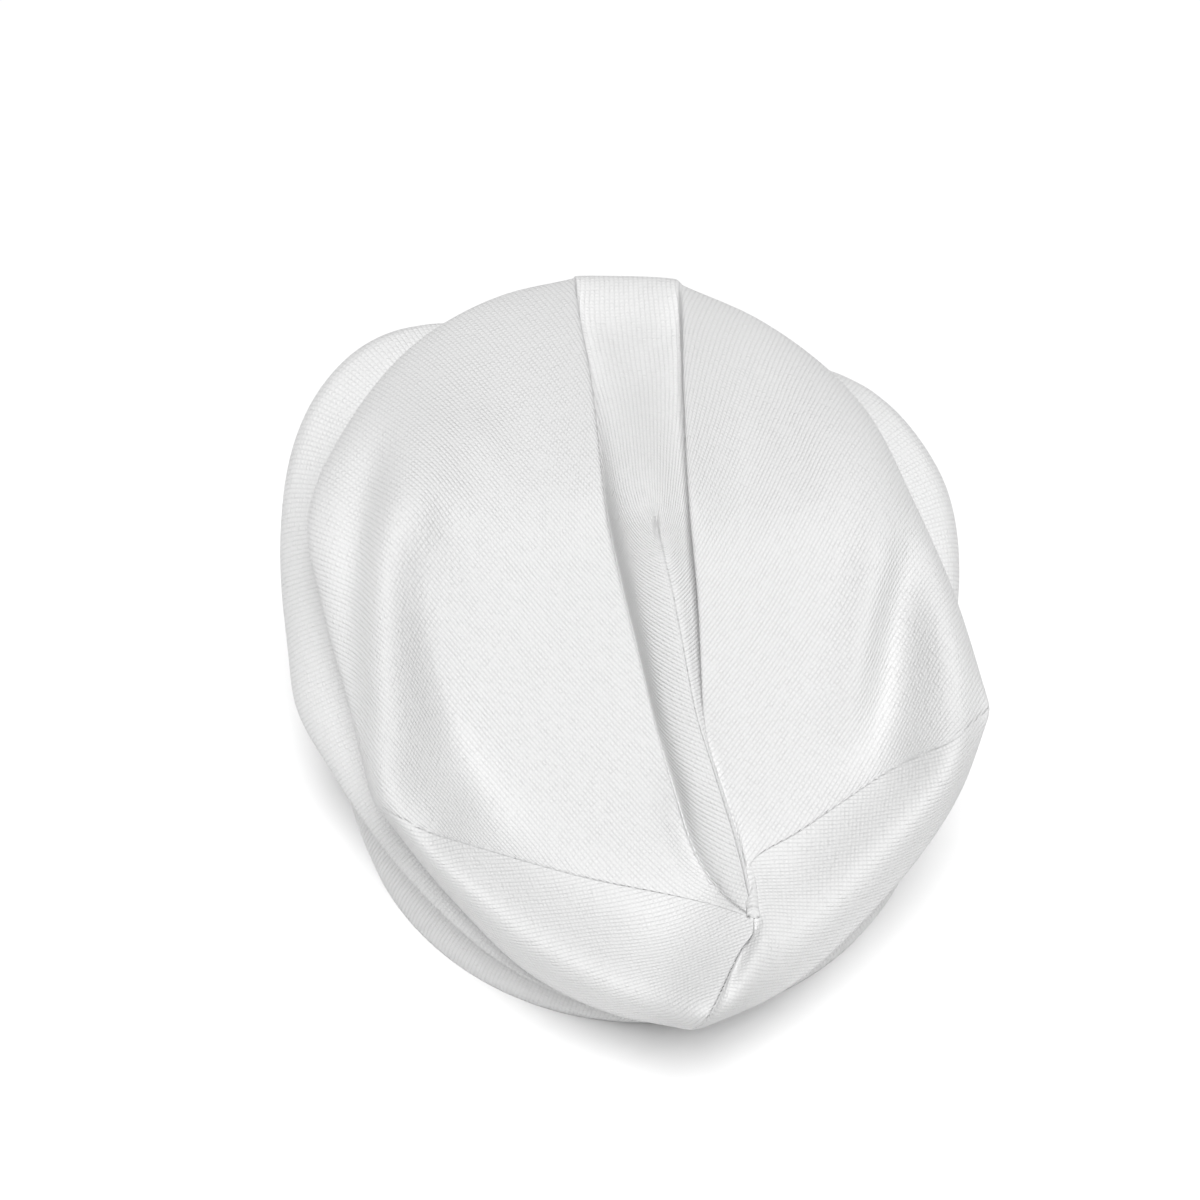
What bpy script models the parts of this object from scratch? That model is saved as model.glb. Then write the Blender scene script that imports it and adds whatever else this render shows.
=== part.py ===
"""A slouchy beanie of white knitted jersey that stands on its rim.

One tube of jersey closed at the top by four sewn darts, whose seams meet in a cross. The crown has
flopped forward and lies in a leaning plane, with a deep pleat along the back dart, a rolled band on
each side of the front dart, and two soft rolls in the tube under it. Metres, +Z up, +Y the back.
The origin is under the middle of the hat's bounding box, on the surface that the rim rests on.
"""
import math

import bpy
import numpy as np
from mathutils import Vector
from mathutils.bvhtree import BVHTree

# Jersey
WALL = 0.0018
COLOUR = (0.86, 0.86, 0.86, 1.0)
ROUGHNESS = 0.9

# The plane that the flopped crown lies in, given by its lean and by one point of it
CROWN_LEAN = math.radians(40)
CROWN_POINT = np.array((-0.013, -0.024, 0.130))
ACROSS = np.array((1.0, 0.0, 0.0))
ALONG = np.array((0.0, math.cos(CROWN_LEAN), math.sin(CROWN_LEAN)))
OUT = np.array((0.0, -math.sin(CROWN_LEAN), math.cos(CROWN_LEAN)))

# Mesh rows of the crown: those near its edge keep their distance from it, the rest are shared out
EDGE_ROWS = 10
CENTRE_ROWS = 9
EDGE_BAND = 0.040
EDGE_BAND_SHARE = 0.6
EDGE_CROWDING = 1.3
# Mesh columns of each panel, and of each stretch between two stations of the pleat
UPPER_LEFT_COLUMNS = 24
UPPER_RIGHT_COLUMNS = 18
LOWER_RIGHT_COLUMNS = 13
LOWER_LEFT_COLUMNS = 15
PLEAT_STEPS = 2

# How round the crown's edge is: the power of its curve where the edge is narrow and where it is wide
NARROW_EDGE_POWER = 2.0
WIDE_EDGE_POWER = 1.18
WIDE_EDGE = 0.07

# Where the four seams meet: across, along
CENTRE = (0.0411, -0.0849)

# Edge of the crown, clockwise seen from above, panel by panel.
# name, across, along, height over the crown plane, width of the rounded edge
UPPER_LEFT_EDGE = (
    ("left_tip", -0.0623, -0.0542, -0.004, 0.010),
    ("left_low", -0.0693, -0.0292, -0.010, 0.013),
    ("left_mid", -0.0773, -0.0028, -0.016, 0.015),
    ("left_side", -0.0824, 0.0225, -0.022, 0.020),
    ("left_crease", -0.0721, 0.0538, -0.042, 0.040),
    ("left_notch", -0.0540, 0.0785, -0.060, 0.062),
    ("back_left", -0.0306, 0.0932, -0.072, 0.072),
    ("pleat_back_left", -0.0083, 0.0991, -0.076, 0.073),
)
UPPER_RIGHT_EDGE = (
    ("pleat_back_right", 0.0258, 0.0969, -0.076, 0.073),
    ("back_right", 0.0492, 0.0850, -0.068, 0.070),
    ("right_shoulder", 0.0776, 0.0560, -0.044, 0.040),
    ("right_side", 0.0893, 0.0285, -0.029, 0.020),
    ("right_mid", 0.0982, 0.0042, -0.018, 0.015),
    ("right_tip", 0.1066, -0.0298, -0.003, 0.011),
)
LOWER_RIGHT_EDGE = (
    ("right_tip", 0.1066, -0.0298, -0.003, 0.011),
    ("right_low", 0.0982, -0.0532, -0.005, 0.018),
    ("lower_right", 0.0765, -0.0833, -0.006, 0.020),
    ("near_right", 0.0468, -0.1086, -0.004, 0.016),
    ("near_tip_right", 0.0265, -0.1155, 0.001, 0.012),
)
LOWER_LEFT_EDGE = (
    ("near_tip", 0.0242, -0.1158, 0.002, 0.012),
    ("near", 0.0024, -0.1125, -0.003, 0.014),
    ("near_left", -0.0172, -0.1038, -0.006, 0.016),
    ("lower_left", -0.0410, -0.0814, -0.006, 0.016),
    ("left_tip", -0.0623, -0.0542, -0.004, 0.010),
)

# Seams from the centre of the crown to their tips: share of the way, across, along
LEFT_SEAM = (
    (0.0, 0.0411, -0.0849),
    (0.40, 0.0000, -0.0773),
    (0.66, -0.0271, -0.0690),
    (1.0, -0.0623, -0.0542),
)
RIGHT_SEAM = (
    (0.0, 0.0411, -0.0849),
    (0.15, 0.0438, -0.0765),
    (0.32, 0.0547, -0.0637),
    (0.68, 0.0818, -0.0448),
    (1.0, 0.1066, -0.0298),
)
# The near seam lies on a fold: share of the way, across, along, depth of the tuck to its right
NEAR_FOLD = (
    (0.0, 0.0411, -0.0849, 0.000),
    (0.15, 0.0410, -0.0879, 0.003),
    (0.40, 0.0373, -0.0932, 0.007),
    (0.70, 0.0304, -0.1039, 0.006),
    (1.0, 0.0242, -0.1158, 0.001),
)

# The pleat along the back dart, from the centre to the back, seen across it from left to right:
# the left panel's edge, the foot of the pleat, the seam, the crest or right foot, the right panel's edge.
# along, left, foot depth, seam, seam depth, crest, crest depth, right, right depth
PLEAT = (
    (-0.0849, 0.0411, 0.000, 0.0411, 0.000, 0.0411, 0.000, 0.0411, 0.000),
    (-0.0800, 0.0322, 0.008, 0.0368, 0.001, 0.0392, -0.003, 0.0402, 0.002),
    (-0.0680, 0.0250, 0.013, 0.0330, 0.003, 0.0370, -0.004, 0.0382, 0.004),
    (-0.0530, 0.0200, 0.016, 0.0285, 0.004, 0.0322, -0.003, 0.0334, 0.003),
    (-0.0420, 0.0173, 0.017, 0.0263, 0.005, 0.0290, 0.000, 0.0301, 0.002),
    (-0.0330, 0.0150, 0.018, 0.0250, 0.005, 0.0273, 0.005, 0.0283, 0.000),
    (-0.0200, 0.0120, 0.019, 0.0225, 0.006, 0.0267, 0.010, 0.0278, 0.000),
    (0.0000, 0.0071, 0.019, 0.0195, 0.007, 0.0258, 0.012, 0.0269, 0.000),
    (0.0265, 0.0016, 0.019, 0.0153, 0.009, 0.0234, 0.014, 0.0245, 0.000),
    (0.0440, 0.0000, 0.019, 0.0140, 0.014, 0.0222, 0.015, 0.0240, 0.000),
    (0.0620, -0.0020, 0.015, 0.0120, 0.015, 0.0212, 0.012, 0.0240, 0.000),
    (0.0800, -0.0050, 0.008, 0.0105, 0.009, 0.0204, 0.006, 0.0246, 0.000),
    (0.0990, -0.0083, 0.000, 0.0090, 0.002, 0.0200, 0.000, 0.0256, 0.000),
)

# Stations across the pleat between the ones in the table: where the left wall turns into the foot, the
# foot itself, and the rise from the foot to the seam, as shares of the way from left edge to seam
PLEAT_STATIONS = 9
FOOT_TURN = 0.10
FOOT_TURN_DEPTH = 0.50
FOOT = 0.22
FOOT_RISE = 0.55
FOOT_RISE_DEPTH = 0.60
# Depth half way from the seam to the crest, as a share of the deeper of the two
CREST_SIDE_DEPTH = 0.55
# How far the pleat's back end bulges past a straight line
PLEAT_BACK_BULGE = 0.0030
# How far beside the near fold its tucked panel starts, and how soon a tucked edge comes up again
NEAR_TUCK = 0.0010
TUCK_FADE = 0.005

# Soft forms of the crown over its floor: rise, half width, then the points that the form runs through
FLOOR = -0.010
FORMS = {
    "left_ridge": (0.015, 0.013,
                   ((-0.059, -0.050), (-0.057, -0.025), (-0.058, 0.0), (-0.056, 0.024), (-0.048, 0.046))),
    "left_flare": (0.006, 0.010, ((-0.055, -0.050), (-0.040, -0.058))),
    "left_line": (-0.007, 0.0065, ((-0.065, 0.035), (-0.067, 0.0), (-0.066, -0.030))),
    "right_ridge": (0.014, 0.010, ((0.082, -0.044), (0.086, -0.024), (0.089, 0.004), (0.084, 0.024))),
    "right_corner": (0.006, 0.008, ((0.088, -0.030), (0.105, -0.030))),
    "left_band": (0.020, 0.013, ((-0.046, -0.069), (-0.023, -0.088), (0.003, -0.103), (0.022, -0.109))),
    "right_band": (0.018, 0.012, ((0.093, -0.049), (0.072, -0.074), (0.051, -0.096), (0.030, -0.110))),
    "centre_ridge": (0.012, 0.012, ((0.040, -0.085), (0.034, -0.098))),
}

# The tube under the crown. Each row goes round its axis in eight directions: right, back right, back,
# back left, left, front left, front and front right. Heights are over the floor, reaches from the axis.
WALL_AXIS = np.array((-0.006, -0.002))
SHOULDER_INSET = 0.002
SHOULDER_DROP = (0.014, 0.014, 0.018, 0.012, 0.010, 0.010, 0.010, 0.012)
TUCK = (0.006, 0.002, 0.000, 0.004, 0.008, 0.009, 0.009, 0.008)
RINGS = {
    "upper_roll": {
        "height": (0.090, 0.121, 0.103, 0.130, 0.096, 0.056, 0.033, 0.048),
        "reach": (0.098, 0.109, 0.107, 0.117, 0.0965, 0.086, 0.091, 0.085),
    },
    "lower_crease": {
        "height": (0.048, 0.055, 0.055, 0.060, 0.050, 0.034, 0.021, 0.030),
        "reach": (0.090, 0.089, 0.090, 0.093, 0.087, 0.077, 0.078, 0.082),
    },
    "lower_roll": {
        "height": (0.022, 0.024, 0.025, 0.025, 0.022, 0.016, 0.011, 0.015),
        "reach": (0.097, 0.093, 0.088, 0.090, 0.088, 0.0805, 0.083, 0.090),
    },
    "rim": {
        "height": (0.0, 0.0, 0.0, 0.0, 0.0, 0.0, 0.0, 0.0),
        "reach": (0.094, 0.090, 0.084, 0.087, 0.085, 0.0785, 0.079, 0.086),
    },
}
EVENING_ROUNDS = 12
# The wall's inner side: step and limit of the search inward, and the crown's last mesh rows, over which
# its direction turns from square to the crown plane to square to the surface, then is evened out
WALL_STEP = 0.0003
THINNEST_WALL = 0.97 * WALL
DEEPEST_WALL = 0.024
CROWN_BLEND_ROWS = 6
BLEND_ROUNDS = 5
# Mesh rows in each stretch of the tube: shoulder, crease, upper roll, lower crease, lower roll, rim
WALL_ROWS = (2, 2, 2, 3, 2, 2)

# Soft slanting folds of the tube, laid out at one reach from its axis and fading out above the rim:
# angle round the axis, height, slant from level, half length, half width, and how far it stands out
FOLD_REACH = 0.095
FOLD_FADE_HEIGHT = 0.015
WALL_FOLDS = (
    (math.radians(20), 0.062, math.radians(35), 0.050, 0.011, 0.005),
    (math.radians(62), 0.075, math.radians(-40), 0.055, 0.012, -0.006),
    (math.radians(105), 0.060, math.radians(30), 0.050, 0.012, 0.005),
    (math.radians(140), 0.050, math.radians(-35), 0.045, 0.011, -0.005),
    (math.radians(172), 0.055, math.radians(25), 0.045, 0.011, 0.004),
    (math.radians(325), 0.040, math.radians(-25), 0.040, 0.010, -0.004),
)


def through(share, step, start, end, start_slope, end_slope):
    """Cubic curve from one value to the next with the given slopes."""
    square = share * share
    cube = square * share
    return ((2 * cube - 3 * square + 1) * start + (cube - 2 * square + share) * step * start_slope
            + (3 * square - 2 * cube) * end + (cube - square) * step * end_slope)


def smooth_between(knots, values, at):
    """Cubic curve through a table's values, without overshoot between its rows."""
    knots = np.asarray(knots, float)
    values = np.asarray(values, float)
    at = np.clip(np.asarray(at, float), knots[0], knots[-1])
    steps = np.diff(knots)
    slopes = np.diff(values) / steps
    tangents = np.empty_like(values)
    tangents[0] = slopes[0]
    tangents[-1] = slopes[-1]
    for i in range(1, len(values) - 1):
        before, after = slopes[i - 1], slopes[i]
        if before * after <= 0:
            tangents[i] = 0.0
        else:
            tangents[i] = 2 * before * after / (before + after)
    index = np.clip(np.searchsorted(knots, at, side="right") - 1, 0, len(steps) - 1)
    step = steps[index]
    share = (at - knots[index]) / step
    return through(share, step, values[index], values[index + 1], tangents[index], tangents[index + 1])


def flowing_curve(points, at):
    """Catmull-Rom curve through the points, which are rows of an array, at shares 0 to 1 of its length."""
    points = np.asarray(points, float)
    lengths = np.linalg.norm(np.diff(points[:, :2], axis=0), axis=1)
    knots = np.concatenate(((0.0,), np.cumsum(lengths)))
    tangents = np.gradient(points, knots, axis=0)
    where = np.asarray(at, float) * knots[-1]
    index = np.clip(np.searchsorted(knots, where, side="right") - 1, 0, len(lengths) - 1)
    step = lengths[index][:, None]
    share = ((where - knots[index]) / lengths[index])[:, None]
    return through(share, step, points[index], points[index + 1], tangents[index], tangents[index + 1])


def around(values, angle):
    """Value at an angle, from eight values at equal steps from +X counterclockwise."""
    count = len(values)
    harmonics = np.fft.rfft(values) / count
    result = np.full_like(angle, harmonics[0].real)
    for order in range(1, count // 2 + 1):
        weight = 1.0 if order == count // 2 else 2.0
        result += weight * (harmonics[order] * np.exp(1j * order * angle)).real
    return result


def distance_to_path(across, along, path):
    """Distance in the crown plane from points to a path of straight runs."""
    nearest = np.full_like(across, np.inf)
    for start, end in zip(path[:-1], path[1:]):
        run = np.subtract(end, start)
        share = ((across - start[0]) * run[0] + (along - start[1]) * run[1]) / run.dot(run)
        share = np.clip(share, 0.0, 1.0)
        gap = np.hypot(across - start[0] - share * run[0], along - start[1] - share * run[1])
        nearest = np.minimum(nearest, gap)
    return nearest


def form_height(across, along):
    """Height of the crown's soft forms over the crown plane."""
    height = np.full_like(across, FLOOR)
    for rise, half_width, path in FORMS.values():
        height += rise * np.exp(-(distance_to_path(across, along, path) / half_width) ** 2)
    return height


def round_off(height, share, length, edge_height, edge_width):
    """Lower a height toward the crown's edge along a rounded shoulder."""
    wide = np.clip(edge_width / WIDE_EDGE, 0.0, 1.0)
    power = NARROW_EDGE_POWER + wide * (WIDE_EDGE_POWER - NARROW_EDGE_POWER)
    into = np.clip(1.0 - (1.0 - share) * length / edge_width, 0.0, 1.0)
    weight = 1.0 - (1.0 - into ** power) ** (1.0 / power)
    return (1.0 - weight) * height + weight * edge_height


def row_shares(length):
    """Shares of a crown column's length, from its centre to its edge, where the mesh rows lie."""
    band = min(EDGE_BAND, EDGE_BAND_SHARE * length)
    outer = band * np.linspace(1.0, 0.0, EDGE_ROWS + 1) ** EDGE_CROWDING
    inner = np.linspace(length, band, CENTRE_ROWS + 1)[:-1]
    return 1.0 - np.concatenate((inner, outer)) / length


def seam_guide(table):
    """Function that gives a seam's across, along and further columns at shares of its length."""
    table = np.asarray(table)

    def at(shares):
        return [smooth_between(table[:, 0], table[:, k], shares) for k in range(1, table.shape[1])]

    return at


def pleat_rows(shares):
    """The pleat's table read at shares of its length: along, then its eight further columns."""
    table = np.asarray(PLEAT)
    along = CENTRE[1] + shares * (table[-1, 0] - CENTRE[1])
    return [along] + [smooth_between(table[:, 0], table[:, k], along) for k in range(1, 9)]


def pleat_left_guide(shares):
    """The left panel's edge at the pleat."""
    along, left = pleat_rows(shares)[:2]
    return [left, along]


def pleat_right_guide(shares):
    """The right panel's edge at the pleat, with its depth under the crest."""
    rows = pleat_rows(shares)
    return [rows[7], rows[0], rows[8]]


def pleat_stations(share):
    """Cross section of the pleat from left to right, as rows of across and depth."""
    values = [value[0] for value in pleat_rows(np.array((share,)))[1:]]
    left, foot_depth, seam, seam_depth, crest, crest_depth, right, right_depth = values
    deepest = max(seam_depth, crest_depth)
    shallowest = min(seam_depth, crest_depth)
    crest_side_depth = CREST_SIDE_DEPTH * deepest + (1 - CREST_SIDE_DEPTH) * shallowest
    rise_depth = (1 - FOOT_RISE_DEPTH) * foot_depth + FOOT_RISE_DEPTH * seam_depth
    return np.array((
        (left, 0.0),
        (left + FOOT_TURN * (seam - left), FOOT_TURN_DEPTH * foot_depth),
        (left + FOOT * (seam - left), foot_depth),
        (left + FOOT_RISE * (seam - left), rise_depth),
        (seam, seam_depth),
        ((seam + crest) / 2, crest_side_depth),
        (crest, crest_depth),
        ((crest + right) / 2, (crest_depth + right_depth) / 2),
        (right, right_depth),
    ))


def pleat_columns():
    """The pleat's columns from left to right."""
    start = np.array(UPPER_LEFT_EDGE[-1][1:])
    end = np.array(UPPER_RIGHT_EDGE[0][1:])
    segments = PLEAT_STATIONS - 1
    columns = []
    for place in np.arange(0, segments * PLEAT_STEPS + 1) / PLEAT_STEPS:
        blend = place / segments
        edge = (1 - blend) * start + blend * end
        edge[1] += PLEAT_BACK_BULGE * 4 * blend * (1 - blend)
        length = math.hypot(edge[0] - CENTRE[0], edge[1] - CENTRE[1])
        column = []
        for share in row_shares(length):
            stations = pleat_stations(share)
            order = np.arange(len(stations), dtype=float)
            across = float(smooth_between(order, stations[:, 0], place))
            depth = float(smooth_between(order, stations[:, 1], place))
            along = CENTRE[1] + share * (edge[1] - CENTRE[1])
            flat = np.array((across,)), np.array((along,))
            height = round_off(form_height(*flat), share, length, edge[2], edge[3])[0] - depth
            column.append((across, along, height))
        columns.append(np.array(column))
    return columns


def panel(first, last, edge_table, columns):
    """One panel of the crown: its columns between two guides, out to its stretch of the crown's edge."""
    edge = np.array([row[1:] for row in edge_table])
    steps = np.linspace(0.0, 1.0, columns + 1)
    result = []
    for step, (edge_across, edge_along, edge_height, edge_width) in zip(steps, flowing_curve(edge, steps)):
        length = math.hypot(edge_across - CENTRE[0], edge_along - CENTRE[1])
        shares = row_shares(length)
        start, end = first(shares), last(shares)
        across = (1 - step) * start[0] + step * end[0]
        along = (1 - step) * start[1] + step * end[1]
        across = across + shares ** 2 * (edge_across - across[-1])
        along = along + shares ** 2 * (edge_along - along[-1])
        height = round_off(form_height(across, along), shares, length, edge_height, edge_width)
        if len(start) > 2:
            gap = np.hypot(across - start[0], along - start[1])
            height = height - start[2] * np.exp(-(gap / TUCK_FADE) ** 2)
        result.append(np.stack((across, along, height), axis=1))
    return result


def near_tuck_guide(shares):
    """The lower right panel's edge, tucked under the fold at the near seam."""
    across, along, depth = seam_guide(NEAR_FOLD)(shares)
    return [across + NEAR_TUCK * shares, along, depth]


def near_fold_guide(shares):
    """The lower left panel's edge, on the fold at the near seam."""
    return seam_guide(NEAR_FOLD)(shares)[:2]


def crown_columns():
    """Columns of the crown, clockwise from the left seam."""
    left = seam_guide(LEFT_SEAM)
    right = seam_guide(RIGHT_SEAM)
    columns = panel(left, pleat_left_guide, UPPER_LEFT_EDGE, UPPER_LEFT_COLUMNS)[:-1]
    columns += pleat_columns()
    columns += panel(pleat_right_guide, right, UPPER_RIGHT_EDGE, UPPER_RIGHT_COLUMNS)[1:]
    lower_right = panel(near_tuck_guide, right, tuple(reversed(LOWER_RIGHT_EDGE)), LOWER_RIGHT_COLUMNS)
    columns += list(reversed(lower_right))[1:]
    columns += panel(near_fold_guide, left, LOWER_LEFT_EDGE, LOWER_LEFT_COLUMNS)[:-1]
    return columns


def to_world(points):
    """Crown plane points, as across, along and height, in the hat's frame."""
    return CROWN_POINT + points[:, :1] * ACROSS + points[:, 1:2] * ALONG + points[:, 2:3] * OUT


def wall_angles(edge_points):
    """Angle of each column of the tube round its axis, evened out between neighbours."""
    offsets = edge_points[:, :2] - WALL_AXIS
    angles = np.unwrap(np.arctan2(offsets[:, 1], offsets[:, 0]))
    turn = math.copysign(2 * math.pi, angles[-1] - angles[0])
    for _ in range(EVENING_ROUNDS):
        before = np.concatenate(((angles[-1] - turn,), angles[:-1]))
        after = np.concatenate((angles[1:], (angles[0] + turn,)))
        angles = (before + 2 * angles + after) / 4
    return angles


def wall_column(edge_point, column_angle):
    """Points of the tube under one point of the crown's edge, down to the rim."""
    angle = np.array((column_angle,))
    direction = np.array((math.cos(column_angle), math.sin(column_angle), 0.0))
    rings = []
    for ring in RINGS.values():
        point = around(ring["reach"], angle)[0] * direction
        point[:2] += WALL_AXIS
        point[2] = around(ring["height"], angle)[0]
        rings.append(point)
    shoulder = edge_point - around(SHOULDER_DROP, angle)[0] * OUT - SHOULDER_INSET * direction
    crease = 0.5 * (shoulder + rings[0]) - around(TUCK, angle)[0] * direction
    knots = np.array([edge_point, shoulder, crease] + rings)
    spans = np.linalg.norm(np.diff(knots, axis=0), axis=1)
    places = np.concatenate(((0.0,), np.cumsum(spans)))
    tangents = np.gradient(knots, places, axis=0)
    tangents[0] = -OUT
    points = []
    for k, steps in enumerate(WALL_ROWS):
        for step in range(1, steps + 1):
            points.append(through(step / steps, spans[k], knots[k], knots[k + 1], tangents[k], tangents[k + 1]))
    points = np.array(points)
    points[:, :2] += wall_folds(angle[0], points[:, 2])[:, None] * direction[:2]
    return points


def wall_folds(angle, heights):
    """How far the tube's slanting folds move it outward."""
    moved = np.zeros_like(heights)
    for fold_angle, height, slant, half_length, half_width, depth in WALL_FOLDS:
        turn = math.remainder(angle - fold_angle, 2 * math.pi)
        side = turn * FOLD_REACH
        rise = heights - height
        lengthwise = side * math.cos(slant) + rise * math.sin(slant)
        crosswise = rise * math.cos(slant) - side * math.sin(slant)
        moved += depth * np.exp(-(lengthwise / half_length) ** 2 - (crosswise / half_width) ** 2)
    return moved * np.clip(heights / FOLD_FADE_HEIGHT, 0.0, 1.0)


def inner_side(outer, faces, inward):
    """Points of the wall's inner side: each goes inward until it is a wall's thickness from the outer side."""
    tree = BVHTree.FromPolygons([tuple(point) for point in outer], faces)
    inner = np.empty_like(outer)
    for index, (point, direction) in enumerate(zip(outer, inward)):
        depth = WALL
        while depth < DEEPEST_WALL:
            if tree.find_nearest(Vector(point + depth * direction))[3] >= THINNEST_WALL:
                break
            depth += WALL_STEP
        inner[index] = point + depth * direction
    return inner


def inward_directions(outer, faces, count, rows, crown_rows):
    """Inward direction of each point: square to the crown plane inside the crown, then to the surface."""
    inward = np.zeros_like(outer)
    for face in faces:
        corners = outer[list(face)]
        across = np.cross(corners[2] - corners[0], corners[-1] - corners[1])
        inward[list(face)] -= across
    inward = inward / np.linalg.norm(inward, axis=1)[:, None]
    inward[0] = -OUT
    place = np.arange(rows) - (crown_rows - 1)
    share = np.clip((place + CROWN_BLEND_ROWS) / CROWN_BLEND_ROWS, 0.0, 1.0)[None, :, None]
    grid = inward[1:].reshape(count, rows, 3)
    mixed = share * grid - (1 - share) * OUT
    for _ in range(BLEND_ROUNDS):
        above = np.concatenate((mixed[:, :1], mixed[:, :-1]), axis=1)
        below = np.concatenate((mixed[:, 1:], mixed[:, -1:]), axis=1)
        mixed = (np.roll(mixed, 1, axis=0) + np.roll(mixed, -1, axis=0) + above + below + 2 * mixed) / 6
    mixed[:, -1, 2] = 0.0
    inward[1:] = (mixed / np.linalg.norm(mixed, axis=2)[:, :, None]).reshape(-1, 3)
    return inward


def flatter_split(points, quad):
    """The two triangles of a quad, cut along the diagonal that leaves it flatter."""
    a, b, c, d = quad
    choices = []
    for pair in (((a, b, c), (a, c, d)), ((a, b, d), (b, c, d))):
        normals = [np.cross(points[t[1]] - points[t[0]], points[t[2]] - points[t[0]]) for t in pair]
        sizes = np.linalg.norm(normals, axis=1)
        choices.append((normals[0].dot(normals[1]) / max(sizes[0] * sizes[1], 1e-18), pair))
    return max(choices, key=lambda choice: choice[0])[1]


def build_shell():
    """Loft the outer side through all columns, and join it to the inner side at the rim."""
    crowns = [to_world(column) for column in crown_columns()]
    angles = wall_angles(np.array([crown[-1] for crown in crowns]))
    columns = [np.vstack((crown[1:], wall_column(crown[-1], angle))) for crown, angle in zip(crowns, angles)]
    rows, count = len(columns[0]), len(columns)
    outer = np.vstack([crowns[0][:1]] + columns)
    outer[:, :2] -= (outer.min(axis=0) + outer.max(axis=0))[:2] / 2

    faces = []
    for c in range(count):
        here = 1 + c * rows
        beside = 1 + ((c + 1) % count) * rows
        faces.append((0, beside, here))
        for r in range(rows - 1):
            faces.extend(flatter_split(outer, (here + r, beside + r, beside + r + 1, here + r + 1)))
    rims = [1 + c * rows + rows - 1 for c in range(count)]
    crown_rows = len(crowns[0]) - 1
    inner = inner_side(outer, faces, inward_directions(outer, faces, count, rows, crown_rows))

    total = len(outer)
    closed = list(faces)
    closed += [tuple(total + corner for corner in reversed(face)) for face in faces]
    for here, beside in zip(rims, rims[1:] + rims[:1]):
        closed.append((here, beside, total + beside, total + here))
    mesh = bpy.data.meshes.new("beanie_shell")
    mesh.from_pydata([tuple(point) for point in np.vstack((outer, inner))], [], closed)
    mesh.validate()
    return bpy.data.objects.new("beanie_shell", mesh)


def jersey():
    """White knitted jersey."""
    material = bpy.data.materials.new("jersey")
    material.use_nodes = True
    shader = material.node_tree.nodes["Principled BSDF"]
    shader.inputs["Base Color"].default_value = COLOUR
    shader.inputs["Roughness"].default_value = ROUGHNESS
    shader.inputs["Metallic"].default_value = 0.0
    return material


def main():
    """Build the beanie in its own collection."""
    for old in list(bpy.data.objects):
        bpy.data.objects.remove(old)
    group = bpy.data.collections.new("beanie")
    bpy.context.scene.collection.children.link(group)
    shell = build_shell()
    group.objects.link(shell)
    shell.data.materials.append(jersey())
    for face in shell.data.polygons:
        face.use_smooth = True


main()
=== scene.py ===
"""A slouchy beanie of white knitted jersey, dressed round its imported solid.

One tube of jersey closed at the top by four sewn darts. The crown has flopped forward, with a deep pleat
along the back dart. Metres, +Z up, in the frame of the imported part.
"""
import math

import bpy
import numpy as np
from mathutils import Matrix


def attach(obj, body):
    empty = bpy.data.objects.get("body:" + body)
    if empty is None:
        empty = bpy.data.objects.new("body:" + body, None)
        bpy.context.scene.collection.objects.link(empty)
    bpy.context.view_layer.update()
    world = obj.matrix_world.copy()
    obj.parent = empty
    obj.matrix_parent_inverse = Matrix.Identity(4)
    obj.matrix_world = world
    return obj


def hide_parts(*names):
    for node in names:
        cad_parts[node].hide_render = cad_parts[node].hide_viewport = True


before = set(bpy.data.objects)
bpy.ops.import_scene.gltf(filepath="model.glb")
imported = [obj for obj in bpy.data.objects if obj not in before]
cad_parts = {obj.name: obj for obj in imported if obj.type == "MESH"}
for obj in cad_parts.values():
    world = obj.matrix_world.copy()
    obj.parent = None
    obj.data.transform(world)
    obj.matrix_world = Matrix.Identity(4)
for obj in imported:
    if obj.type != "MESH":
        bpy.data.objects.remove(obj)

bl_info = {
    "name": "Slouchy jersey beanie",
    "version": (1, 0, 0),
    "blender": (4, 5, 0),
    "location": "3D View > Sidebar > Beanie",
    "description": "Dresses the packed beanie in knitted jersey and sets it in a plain studio",
    "category": "Object",
}

SOLID = "beanie_shell"

# The plane that the flopped crown lies in, given by its lean and by one point of it
CROWN_LEAN = math.radians(40)
CROWN_POINT = np.array((-0.013, -0.024, 0.130))
ACROSS = np.array((1.0, 0.0, 0.0))
ALONG = np.array((0.0, math.cos(CROWN_LEAN), math.sin(CROWN_LEAN)))
OUT = np.array((0.0, -math.sin(CROWN_LEAN), math.cos(CROWN_LEAN)))
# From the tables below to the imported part's own frame
FRAME_SHIFT = np.array((0.00725, 0.0048, 0.0))

# Mesh rows of the crown: those near its edge keep their distance from it, the rest are shared out
EDGE_ROWS = 16
CENTRE_ROWS = 22
CENTRE_CROWDING = 1.6
EDGE_BAND = 0.040
EDGE_BAND_SHARE = 0.6
EDGE_CROWDING = 1.3
# Mesh columns of each panel, and of each stretch between two stations of the pleat
UPPER_LEFT_COLUMNS = 46
UPPER_RIGHT_COLUMNS = 36
LOWER_RIGHT_COLUMNS = 30
LOWER_LEFT_COLUMNS = 34
PLEAT_STEPS = 3

# How round the crown's edge is: the power of its curve where the edge is narrow and where it is wide
NARROW_EDGE_POWER = 2.0
WIDE_EDGE_POWER = 1.18
WIDE_EDGE = 0.07

# Mesh rows round the centre that are evened out, and how often
CENTRE_EASING_ROWS = 12
CENTRE_EASING_ROUNDS = 6

# How far a dart is sewn from the middle of the crown
DART_LENGTH = 0.118
# Rounds of the flat layout, and the mesh rows over which the tube's upright is taken
UNWRAP_ROUNDS = 12
UPRIGHT_ROWS = 10
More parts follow.
